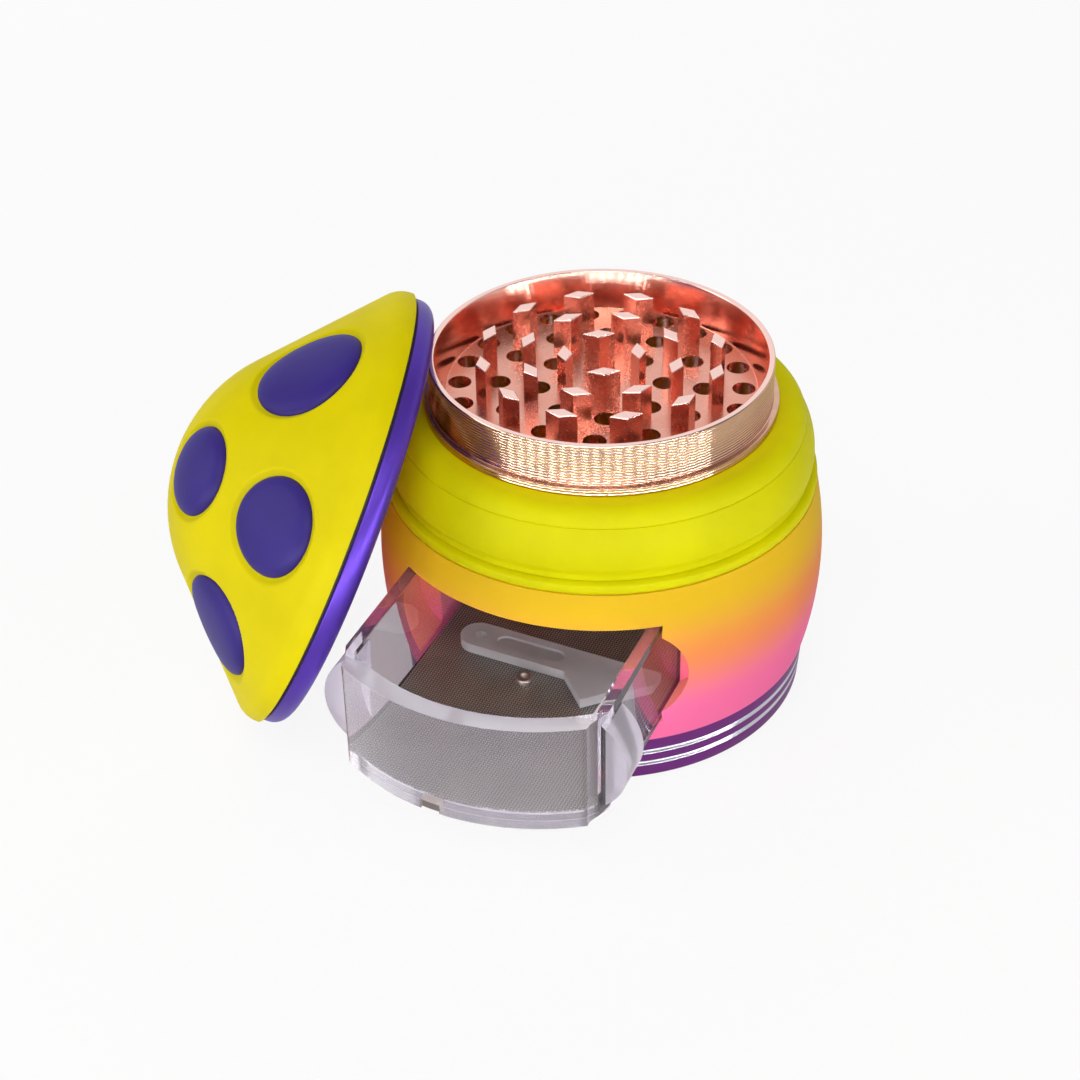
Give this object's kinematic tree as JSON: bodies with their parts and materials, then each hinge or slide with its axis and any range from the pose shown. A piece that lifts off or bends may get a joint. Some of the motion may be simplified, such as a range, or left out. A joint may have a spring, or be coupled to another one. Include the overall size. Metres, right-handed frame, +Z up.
{
  "type": "herb grinder",
  "caption": "Toadstool-shaped hand grinder with a spotted twist cap taken off, a toothed copper plate with drop holes, a pull-out clear drawer over a fine screen and a screw-off base.",
  "frame": {"origin": "centre of the base's resting face", "axes": "+Z up along the grinder's axis; the drawer opens towards -Y; +X is to the right seen from the drawer"},
  "size_m": [0.0881, 0.0841, 0.0586],
  "materials": {
    "cap_yellow": "matte",
    "spot_purple": "satin",
    "core_violet": "satin",
    "collar_lime": "matte",
    "barrel_sunset": "matte",
    "base_purple": "satin",
    "rose_copper": "polished",
    "clear_acrylic": "gloss",
    "mesh_steel": "satin",
    "steel": "satin",
    "magnet_nickel": "polished",
    "seal_black": "matte",
    "scraper_white": "satin",
    "glide_white": "matte"
  },
  "bodies": {
    "body": {"barrel": "barrel_sunset", "barrel_magnet": "magnet_nickel", "drawer_stop_pin": "steel", "collar": "collar_lime", "collar_seal": "seal_black", "plate_rim": "rose_copper", "plate_floor": "rose_copper", "plate_teeth": "rose_copper", "plate_magnet": "magnet_nickel"},
    "base_seal_ring": {"base_seal": "seal_black"},
    "base": {"base_cup": "base_purple"},
    "drawer": {"drawer_box": "clear_acrylic", "drawer_magnet": "magnet_nickel", "mesh_frame": "clear_acrylic", "mesh_screen": "mesh_steel", "mesh_rivet": "steel"},
    "scraper": {"scraper": "scraper_white"},
    "glide": {"glide_ring": "glide_white"},
    "cap": {"cap_core": "core_violet", "tooth_cup": "rose_copper", "cap_magnet": "magnet_nickel", "cap_screws": "steel", "seam_gasket": "seal_black", "cap_shell": "cap_yellow", "cap_spot_1": "spot_purple", "cap_spot_2": "spot_purple", "cap_spot_3": "spot_purple", "cap_spot_4": "spot_purple", "cap_spot_5": "spot_purple", "cap_spot_6": "spot_purple", "cap_spot_7": "spot_purple", "cap_spot_8": "spot_purple"}
  },
  "joints": [
    {"name": "base_travel", "type": "slide", "parent": "body", "child": "base_seal_ring", "axis": [0, 0, -1], "range_m": [0, 0.00401]},
    {"name": "base_turn", "type": "hinge", "parent": "base_seal_ring", "child": "base", "pos_m": [0, 0, 0.004], "axis": [0, 0, -1], "range_deg": [0, 960]},
    {"name": "drawer_slide", "type": "slide", "parent": "body", "child": "drawer", "axis": [0, -1, 0], "range_m": [-0.0214, 0.0135]},
    {"name": "scraper_lift", "type": "slide", "parent": "drawer", "child": "scraper", "axis": [0, 0, 1], "range_m": [0, 0.01]},
    {"name": "cap_lift", "type": "slide", "parent": "body", "child": "glide", "axis": [-0.8524, -0.3315, 0.4043], "range_m": [0, 0.025]},
    {"name": "cap_turn", "type": "hinge", "parent": "glide", "child": "cap", "pos_m": [-0.03034, -0.01691, 0.0279], "axis": [-0.8524, -0.3315, 0.4043], "continuous": true}
  ],
  "couplings": [
    {"joint": "base_travel", "follows": "base_turn", "m_per_rad": 0.00023873}
  ]
}
